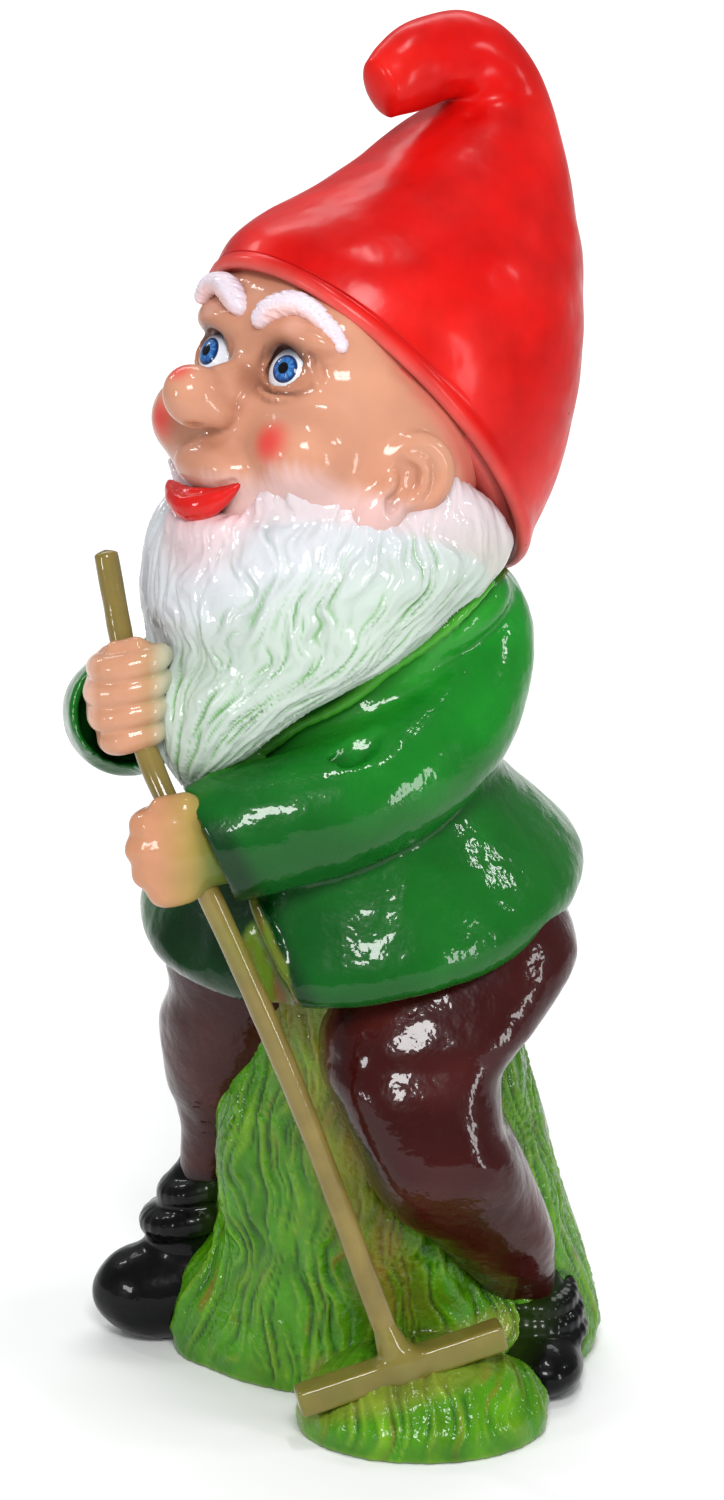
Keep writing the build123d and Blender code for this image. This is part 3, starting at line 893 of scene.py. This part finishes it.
def make_jacket():
    clay = Clay((-142, -156, 222), (126, 126, 462), 1.75 * FINE)
    clay.add(column(JACKET, 0, 5))
    for sleeve, tilt in ((RIGHT_SLEEVE, CUFF_TILT["right"]), (LEFT_SLEEVE, CUFF_TILT["left"])):
        clay.add(tube(sleeve, 18, 5), 4)
        end, before = np.array(sleeve[-1][:3]), np.array(sleeve[-2][:3])
        on = unit(end - before)
        r = sleeve[-1][3]
        clay.cut(beyond(end + on * tilt * 10, on + (0, 0, tilt), 80), 1.5)
        clay.cut(rod(end - on * 5, end + on * 40, r - 5, r - 3), 3)
    clay.cut(tube(OPENING, 10, 3), 2)
    edge = [(q[0] + q[3] * 0.95, q[1] + 7, q[2], 3) for q in OPENING[1:4]]
    clay.add(tube(edge, 10, 2), 3)
    clay.add(tube(RIM, 30, 2), 3.5)
    for a, b, wide in ELBOW_CREASES:
        a, b = np.array(a, float), np.array(b, float)
        line = [(*a, wide * 0.5), (*((a + b) / 2 + (1.5, 0, -1)), wide), (*b, wide * 0.5)]
        clay.cut(tube(line, 8, 2), 3)
    clay.add(tube(COLLAR, 12, 4), 5)
    made = Cast.of(clay, 5)
    made.dent((42, 1.1, 21), (15, 0.45, 22), (7, 0.12, 27))
    p = made.p
    h = made.hollowness(12)
    made.coat(GREEN)
    # painted light: the green is lighter towards the shoulders
    made.lay((20, 134, 32), smooth(p[:, 2] + noise(p / 40, 23) * 60, 310, 400) * 0.75)
    # painted shade in the creases and folds
    made.lay((6, 46, 16), smooth(h, 0.3, 1.8) * 0.8)
    from_rim = distance_to(curve(RIM, 16), p)
    made.lay((44, 142, 40), smooth(-from_rim + noise(p / 9, 28) * 4, -22, -4) * 0.6)
    made.lay((74, 160, 44), smooth(-from_rim, -3.2, -0.4) * 0.8)
    end = np.array(LEFT_SLEEVE[-1][:3], float)
    on = end - LEFT_SLEEVE[-2][:3]
    reach = (p - end) @ (unit(on) + (0, 0, CUFF_TILT["left"]))
    # painted shade: darker green along the left forearm towards the cuff, darkest at the lower front of the
    # cuff's edge
    cuff = smooth(reach, -16, -4) * smooth(-p[:, 1], 84, 100) * smooth(-p[:, 2], -336, -322)
    made.lay((6, 58, 20), smooth(reach, -100, -10) * smooth(-p[:, 1], 64, 90) * 0.5)
    made.lay((6, 34, 14), cuff * 0.8)
    hollow = distance_to(OPENING, p)
    streak = noise(p * (0.2, 0.2, 0.05), 29)
    inside = smooth(-hollow, -3.5, -1.5) * smooth(p @ VIEW_FRONT, 60, 80)
    made.lay((96, 128, 34), inside * 0.8)
    made.lay((104, 66, 30), np.clip(inside * (streak + 0.3), 0, 1))
    spots = smooth(noise(p / 7, 24), 0.72, 0.85) * smooth(p[:, 2], 330, 400)
    made.lay((150, 130, 30), spots * 0.6)
    made.piece("jacket_cloth", ["jacket", "left_sleeve", "right_sleeve"], "green_paint", gloss)


# ---- hands, given as the photo sees them
def seen_from(c):
    """Places points by their distance to the photo's right of c, towards the camera and up."""
    return lambda s, t, z: c + VIEW_SIDE * s + VIEW_FRONT * t + UP * z


def make_right_hand():
    c = np.array([-54.0, -132.0, 379.0])
    at = seen_from(c)
    clay = Clay(c - 46, c + 46, 0.6 * FINE)
    clay.add(egg(at(-4, -6, 1), (15, 16, 25), facing(VIEW_TURN)))
    clay.add(egg(at(-9, -12, 0), (12, 18, 23), facing(VIEW_TURN)), 6)
    for z, r, left in ((18.5, 6.6, -14), (6.5, 6.8, -15.5), (-5.5, 6.6, -14), (-17, 6.0, -10)):
        finger = [
            (*at(left, -6, z - 4), r),
            (*at(left + 3, 5, z - 3), r),
            (*at(-1, 10, z - 1), r),
            (*at(10, 8, z + 1.5), r * 0.95),
            (*at(16, 0, z + 3), r * 0.9),
        ]
        clay.add(tube(finger, 10, 3), 2.2)
    clay.add(chain([(*at(13, -6, 19), 6), (*at(4, 3, 25), 5.6), (*at(-6, 2, 24), 5)], 3), 3)
    made = Cast.of(clay, 3)
    h = made.hollowness(10)
    s = (made.p - c) @ VIEW_SIDE
    made.coat((190, 138, 108))
    # painted shade in the hand's hollows
    made.lay((176, 108, 78), smooth(h, 0.1, 0.9) * 0.6)
    stripes = smooth(h, 0.0, 0.6)
    made.lay((196, 204, 186), smooth(s, 9, 20) * 0.7)
    made.lay((96, 132, 52), smooth(s, 2, 12) * (0.25 + 0.75 * stripes) * 0.8)
    # painted highlight along the fist's left side
    made.lay((240, 206, 190), smooth(-s, 13, 20) * 0.4)
    made.piece("right_fist", ["right_hand"], "skin_paint", flesh)


def make_left_hand():
    c = np.array([-19.0, -141.0, 311.0])
    at = seen_from(c)
    clay = Clay(c - 48, c + 48, 0.6 * FINE)
    clay.add(egg(at(-1, 1, 2), (20, 17, 25), facing(VIEW_TURN)))
    clay.add(chain([(*at(0, 0, 0), 21), (*at(30, -10, 4), 22)], 2), 5)
    for out, z in ((-16, 13), (-18, 1), (-15, -11), (-8, -20)):
        knuckle = [
            (*at(2, 8, z + 3), 8),
            (*at(out, 7, z), 6.6),
            (*at(out - 1, -3, z - 1), 6.2),
            (*at(out + 6, -13, z - 1), 6),
        ]
        clay.add(tube(knuckle, 8, 3), 5)
    clay.add(chain([(*at(12, 7, 18), 7.5), (*at(2, 7, 22), 7), (*at(-9, 4, 21), 5.8)], 3), 3)
    made = Cast.of(clay, 3)
    h = made.hollowness(10)
    s = (made.p - c) @ VIEW_SIDE
    made.coat((190, 134, 100))
    # painted shade in the hand's hollows
    made.lay((176, 108, 74), smooth(h, 0.1, 0.9) * 0.6)
    made.lay((150, 132, 62), smooth(s, -14, 6) * 0.8)
    made.lay((78, 108, 34), smooth(s, 2, 18) * 0.85)
    made.piece("left_fist", ["left_hand"], "skin_paint", flesh)


# ---- trousers and boots
LEFT_LEG = [
    (81, 26, 40, 16.5, 16, 0),
    (81, 17, 55, 20.5, 22, 0),
    (81, 4, 72, 26, 29, 0),
    (79, -9, 92, 32, 38, 0),
    (72, -17, 105, 38.5, 46, 0),
    (66, -24, 120, 41.5, 54, 0),
    (62, -29, 136, 41.5, 63, 0),
    (58, -32, 148, 41, 67, 0),
    (52, -33, 160, 41, 68, 0),
    (45, -32, 182, 45, 66, 0),
    (46, -26, 195, 50, 63, 0),
    (50, -20, 208, 55, 61, 0),
    (53, 1, 236, 60, 60, 0),
    (48, 6, 262, 54, 58, 0),
    (42, 4, 286, 42, 50, 0),
]
RIGHT_LEG = [
    (-84, -17, 88, 15, 15, 0),
    (-82, -17, 100, 17, 17, 0),
    (-76, -19, 118, 20, 21, 0),
    (-71, -21, 135, 25, 27, 0),
    (-67, -23, 150, 31, 34, 0),
    (-61, -24, 168, 37, 42, 0),
    (-54, -23, 190, 44, 52, 0),
    (-46, -18, 208, 46, 62, 0),
    (-44, -8, 236, 50, 80, 0),
    (-42, -4, 262, 46, 76, 0),
    (-38, 0, 284, 38, 60, 0),
]


def make_trousers():
    clay = Clay((-124, -116, 36), (124, 100, 290), 1.7 * FINE)
    clay.add(column(LEFT_LEG, 37, 3, 3.0))  # this knee is turned out, and squarer
    clay.add(column(RIGHT_LEG, 0, 3), 10)
    made = Cast.of(clay, 5)
    made.dent((45, 1.4, 31), (16, 0.5, 32), (7, 0.13, 37))
    p = made.p
    made.coat(BROWN)
    made.lay((80, 30, 27), smooth(noise(p / 38, 33), -0.2, 0.8) * 0.6)
    grass = smooth(-(np.abs(p[:, 0] - 8) - 0.35 * (230 - p[:, 2])), -22, 6) * smooth(-p[:, 1], 0, 40)
    streak = noise(p * (0.12, 0.12, 0.03), 34)
    made.lay((112, 66, 30), np.clip(grass * (0.6 + streak), 0, 1) * 0.6)
    made.lay((70, 92, 24), np.clip(grass * 1.4 + streak - 0.9, 0, 1) * 0.6)
    made.lay((16, 11, 11), smooth(-p[:, 2], -104, -88) * smooth(-p[:, 0], 0, 20))
    made.piece("trousers", ["left_trouser_leg", "right_trouser_leg"], "brown_paint", gloss)


BOOTS = {  # toe's centre and radii, turn, ankle as (x, y, z, radius), folds as (height, radius, reach), laces
    "left": {
        "toe": (98, 12, 14),
        "cap": (23, 34, 17),
        "turn": 42,
        "ankle": [(90, 27, 8, 21), (91, 25, 24, 19), (88, 26, 47, 15.5)],
        "folds": [(46, 4.8, 2.5), (37, 4.8, 3.5), (28, 4.6, 3.5)],
        "laces": 0,
    },
    "right": {
        "toe": (-110, -29, 24),
        "cap": (27, 34, 26),
        "turn": -62,
        "ankle": [(-100, -18, 26, 25), (-97, -18, 60, 20), (-92, -17, 77, 18), (-87, -16, 92, 15)],
        "folds": [(85, 6.5, 0), (68, 7.5, 1)],
        "laces": 3,
    },
}


def make_boot(name):
    toe, cap, turn, ankle, folds, laces = BOOTS[name].values()
    way = facing(turn)
    toe, rows = np.array(toe, float), np.array(ankle, float)
    low = np.minimum(toe - 50, rows[-1, :3] - 44)
    low[2] = -6
    clay = Clay(low, np.maximum(toe + 50, rows[-1, :3] + 44), 0.8 * FINE)
    clay.add(egg(toe, cap, way))
    clay.add(egg(toe - way[1] * 22 + (0, 0, 2), (cap[0] - 2, 28, cap[2] + 1), way), 6)
    clay.add(chain(ankle, 5), 7)
    for z, girth, grow in folds:
        c = np.array([np.interp(z, rows[:, 2], rows[:, i]) for i in range(4)])
        ring = []
        for a in np.linspace(0, 2 * math.pi, 25):
            out = way[0] * math.cos(a) + way[1] * math.sin(a)
            ring.append((*(c[:3] + out * (c[3] + grow) - UP * math.sin(a) * 5), girth))
        clay.add(chain(ring, 1), 4)
    for k in range(laces):
        c = toe - way[1] * (13 + 7 * k) + (0, 0, cap[2] + 1 + 4 * k)
        lace = [(*(c + way[0] * u * 12 - UP * u * u * 5), 2.4) for u in np.linspace(-1, 1, 7)]
        clay.add(chain(lace, 1), 2)
    clay.level(0.4, 1.5)
    made = Cast.of(clay, 3)
    made.dent((24, 0.7, 41), (9, 0.2, 42))
    h = made.hollowness(8)
    made.coat(BLACK)
    # painted highlight: lighter grey on the ridges
    made.lay((34, 34, 37), smooth(-h, 0.3, 1.6) * 0.5)
    toward = smooth(-np.linalg.norm((made.p - (12, 0, 0)) * (1, 1, 0), axis=1), -104, -84)
    made.lay((44, 66, 18), toward * 0.5)
    made.piece(f"{name}_boot_cast", [f"{name}_boot", f"{name}_boot_cuff"], "black_paint", boot_black)


# ---- grass mound
MOUND = [
    (2, 26, -24, 108, 80, 0),
    (2, 26, 2, 109, 82, 0),
    (6, 25, 22, 106, 81, 0),
    (7, 24, 50, 98, 79, 0),
    (9, 14, 98, 86, 74, 0),
    (11, 6, 147, 76, 68, 0),
    (9, 0, 200, 67, 64, 0),
    (8, -4, 250, 61, 60, 0),
]
KNOLL = [
    (70, -61, -24, 60, 48, 0),
    (70, -60, 8, 63, 50, 0),
    (71, -58, 20, 57, 44, 0),
    (72, -56, 32, 42, 31, 0),
    (72, -55, 40, 16, 13, 0),
]


def make_mound():
    clay = Clay((-118, -142, -4), (148, 120, 254), 1.66 * FINE)
    clay.add(column(MOUND, VIEW_TURN, 3))
    clay.add(egg((-72, -32, 14), (21, 21, 40)), 14)
    clay.add(column(KNOLL, VIEW_TURN, 6), 8)
    clay.add(egg((-40, -40, 128), (17, 20, 44)), 20)
    shin = [(x + 5, y - 9, z, w - 5, d - 4, 0) for x, y, z, w, d, _ in LEFT_LEG[1:6]]
    clay.cut(column(shin, 34, 8, 2.4), 14)
    clay.cut(egg((98, -16, 60), (26, 24, 31)), 10)
    clay.open_foot(7, PLATE_TOP + 1.5)
    clay.cut(rod(BUNG_PLACE, BUNG_PLACE + UP * 40, 28, 26), 2)
    clay.level(0.0, 2)
    made = Cast.of(clay, 3)
    p = made.p
    x, y, z = p.T
    around = np.arctan2(x - 9, -(y - 10))
    knoll = smooth(-np.linalg.norm((p - (72, -60, 20)) * (1, 1, 1.1), axis=1), -76, -60)
    around2 = np.arctan2(x - 10, -(y - 45))
    spread = np.hypot(x - 10, y - 45)
    bend = strand_noise(around * 2, z / 50, 51) * 0.22 + strand_noise(around * 6, z / 20, 57) * 0.05
    a = around + bend + 0.25 * np.sin(around) * (z - 120) / 120
    a = a * (1 - knoll) + (around2 * 1.25 + bend * 1.3) * knoll
    run = z * (1 - knoll) + (130 - spread) * knoll
    foot = smooth(-z, -14, -1)
    broad = strand_noise(a * 6, run / 70, 52, 0.5)
    blades = 1 - 2 * np.abs(strand_noise(a * 14, run / 55, 53, 2.5)) ** 0.8
    fine = 1 - 2 * np.abs(strand_noise(a * 33, run / 30, 54, 4.5))
    quiet = 1 - 0.7 * foot
    made.carve((broad * 1.4 + blades * 1.9 + fine * 1.0) * quiet)
    made.p[:, 2] = np.maximum(made.p[:, 2], 0)
    h = made.hollowness(4)
    groove = smooth(h, 0.05, 0.7)
    ridge = smooth(-h, 0.1, 0.7)
    made.coat((60, 124, 5))
    tone = strand_noise(a * 10, run / 40, 55)
    made.lay((102, 148, 12), smooth(tone, -0.1, 0.6) * 0.6)
    made.lay((124, 88, 26), smooth(strand_noise(a * 22, run / 24, 56), 0.3, 0.7) * 0.65)
    # painted shade in the grooves between blades, and painted highlight on their ridges
    made.lay((22, 60, 8), groove * 0.85)
    made.lay((132, 164, 44), ridge * 0.4)
    under = smooth(z, 100, 220) * smooth(x, 10, 36) * smooth(-y, 0, 30)
    made.lay((112, 72, 34), under * 0.7)
    pole = curve(HANDLE, 60)
    across = np.abs(p @ VIEW_SIDE - np.interp(z, pole[:, 2], pole @ VIEW_SIDE) - 4)
    spray = smooth(-across, -26, -8) * smooth(p @ VIEW_FRONT, 0, 40) * smooth(z, 24, 60)
    made.lay((120, 92, 34), np.clip(spray * (0.55 + 0.5 * tone), 0, 1))
    made.lay((150, 140, 60), smooth(-np.abs(z - 30 - 0.3 * (x - 66)), -14, -4) * knoll * 0.4)
    made.piece("grass_cast", ["grass_mound"], "grass_paint", wet_grass)


# ---- rake
BAR = (np.array([30.0, -116, 24]), np.array([109.0, -47, 52]))  # the cross bar's ends
POLE = 5.8  # radius


def make_rake():
    line = curve(HANDLE, 150)
    shaped = []
    for i, c in enumerate(line):
        on = unit(line[min(i + 1, 149)] - line[max(i - 1, 0)])
        a = unit(np.cross(on, VIEW_FRONT))
        b = np.cross(on, a)
        r = POLE + 0.25 * math.sin(i * 0.21) * math.sin(i * 0.07)
        shaped.append((c, a * r, b * r))
    end = unit(line[-1] - line[-2])
    for s in (0.35, 0.65, 0.85, 0.96, 1.0):  # the top's round end
        r = POLE * math.cos(s * math.pi / 2) if s < 1 else 0.05
        r = max(r, 0.05) ** 0.8 * POLE**0.2
        shaped.append((line[-1] + end * 2.4 * s, a * r, b * r))
    made, _, _ = skin_of_rings(shaped, 40)
    made.outward(np.repeat([ring[0] for ring in shaped], 40, 0))
    made.dent((12, 0.25, 61))
    made.coat(KHAKI)
    made.lay((120, 104, 52), smooth(noise(made.p / 20, 62), 0, 0.7) * 0.5)
    made.lay((112, 112, 40), smooth(-np.abs(made.p[:, 2] - 262), -26, -4) * 0.5)
    made.piece("rake_pole", ["rake_handle"], "rake_paint", khaki)

    a, b = BAR
    along = unit(b - a)
    across = unit(np.cross(along, UP))
    box = np.array([along, across, np.cross(across, along)])
    clay = Clay(np.minimum(a, b) - 18, np.maximum(a, b) + (18, 18, 44), 0.8 * FINE)
    clay.add(slab((a + b) / 2, (np.linalg.norm(b - a) / 2, 7.5, 7), box, 2.2))
    foot = np.array(HANDLE[0], float)
    on = unit(np.array(HANDLE[1], float) - foot)
    clay.add(rod(foot - on * 4, foot + on * 26, 9.5, 5.4), 6)
    clay.add(rod(foot + along * 10 - on * 2, foot + on * 12, 4, 4), 7)
    made = Cast.of(clay, 3)
    made.dent((14, 0.5, 63))
    h = made.hollowness(8)
    made.coat(KHAKI)
    # painted shade in the hollows where the pole meets the bar
    made.lay((112, 96, 44), smooth(h, 0.1, 1.2) * 0.7)
    made.lay(OLIVE, 0.3 + 0.4 * smooth(noise(made.p / 16, 64), -0.1, 0.8))
    made.piece("rake_bar", ["rake_head", "rake_socket"], "rake_paint", khaki)


make_hat()
make_face()
make_lips()
for name in ("left", "right"):
    make_eye(name)
    make_brow(name)
make_beard()
make_jacket()
make_right_hand()
make_left_hand()
make_trousers()
make_boot("left")
make_boot("right")
make_mound()
make_rake()


# ---- carried-over CAD nodes
def moulded(name, colour, rough, size):
    """Bare moulded plastic or rubber."""
    m, shader, add = new_material(name)
    speck = add("TexNoise", "Fac", Scale=1000 / size, Detail=5, Vector=add("TexCoord", "Object"))
    ramp = add("ValToRGB", "Color", Fac=speck)
    for stop, share in zip(ramp.node.color_ramp.elements, (0.75, 1.2)):
        stop.color = (*(np.array(colour) * share), 1)
    bump = add("Bump", "Normal", Strength=0.22, Distance=0.0005, Height=speck)
    fill(shader, Base_Color=ramp, Normal=bump, Roughness=rough)
    return m


for node, material in (
    ("base_plate", moulded("bare_moulding", (0.42, 0.41, 0.38), 0.55, 3)),
    ("fill_bung", moulded("stopper_rubber", (0.03, 0.03, 0.03), 0.7, 2)),
):
    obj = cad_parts[node]
    obj.data.materials.clear()
    obj.data.materials.append(material)


# ---- studio, in metres
CAMERA_AWAY, CAMERA_PITCH, CAMERA_LENS = 2.0, 15, 98.0  # metres, degrees, millimetres
CAMERA_HEIGHT = 0.3298  # of the point looked at
LAMP_HEIGHT = 0.36  # of the point the lamps stand round
LAMPS = [  # name, azimuth, elevation, distance, width, height, power
    ("window", 32, 34, 1.9, 0.5, 0.5, 25),
    ("low_window", -22, 6, 2.1, 0.3, 0.4, 9),
    ("overhead", 60, 76, 1.9, 0.14, 0.5, 8),
    ("right_window", 119, 28, 2.2, 0.13, 0.24, 3),
    ("left_window", -92, 36, 2.2, 0.16, 0.4, 5),
    ("side_strip", 84, 3, 2.2, 0.28, 0.8, 11),
]


def make_floor():
    """A sheet of pale paper that curves up behind the figure."""
    mesh = bpy.data.meshes.new("floor")
    size, back, sweep = 7.0, 3.0, 0.65  # the sweep is low, so that views from behind look over it
    profile = [(-size, 0.0), (back - sweep, 0.0)]
    for a in np.linspace(0.1, math.pi / 2, 12):
        profile.append((back - sweep + sweep * math.sin(a), sweep - sweep * math.cos(a)))
    verts, faces = [], []
    turn = math.radians(VIEW_TURN)
    for i, (y, z) in enumerate(profile):
        for x in (-size, size):
            across = x * math.cos(turn) - y * math.sin(turn)
            verts.append((across, x * math.sin(turn) + y * math.cos(turn), z - 0.0005))
        if i:
            k = 2 * i
            faces.append((k - 2, k - 1, k + 1, k))
    mesh.from_pydata(verts, [], faces)
    mesh.shade_smooth()
    floor = bpy.data.objects.new("floor", mesh)
    bpy.context.scene.collection.objects.link(floor)
    paper, shader, _ = new_material("pale_paper")
    fill(shader, Base_Color=(0.9, 0.9, 0.9, 1), Roughness=0.9)
    mesh.materials.append(paper)


def make_world():
    world = bpy.data.worlds.new("studio")
    world.use_nodes = True
    world.node_tree.nodes["Background"].inputs["Color"].default_value = (0.95, 0.97, 1.0, 1)
    world.node_tree.nodes["Background"].inputs["Strength"].default_value = 0.3
    bpy.context.scene.world = world
    bpy.context.scene.view_settings.view_transform = "Standard"


def lamp(name, azimuth, elevation, distance, width, height, power, target=(0, 0, LAMP_HEIGHT)):
    """An area lamp at angles round the figure, facing a target."""
    light = bpy.data.lights.new(name, "AREA")
    light.shape = "RECTANGLE"
    light.size, light.size_y, light.energy = width, height, power
    obj = bpy.data.objects.new(name, light)
    a, e = math.radians(azimuth), math.radians(elevation)
    way = Vector((math.sin(a) * math.cos(e), -math.cos(a) * math.cos(e), math.sin(e)))
    obj.location = Vector((0, 0, LAMP_HEIGHT)) + way * distance
    obj.rotation_euler = (Vector(target) - obj.location).to_track_quat("-Z", "Y").to_euler()
    bpy.context.scene.collection.objects.link(obj)


def make_camera():
    camera = bpy.data.cameras.new("camera")
    camera.sensor_width = 36
    camera.lens = CAMERA_LENS
    eye = bpy.data.objects.new("camera", camera)
    aim = Vector((AXIS[0] / 1000, AXIS[1] / 1000, CAMERA_HEIGHT))
    a, away = math.radians(VIEW_TURN), CAMERA_AWAY
    rise = away * math.tan(math.radians(CAMERA_PITCH))
    eye.location = aim + Vector((away * math.sin(a), -away * math.cos(a), rise))
    eye.rotation_euler = (aim - eye.location).to_track_quat("-Z", "Y").to_euler()
    bpy.context.scene.collection.objects.link(eye)
    bpy.context.scene.camera = eye


make_floor()
make_world()
for row in LAMPS:
    lamp(*row)
behind = math.radians(VIEW_TURN)
lamp("backdrop", 210, 50, 2.3, 2.4, 1.2, 52, (-math.sin(behind) * 2.4, math.cos(behind) * 2.4, 0.1))
make_camera()
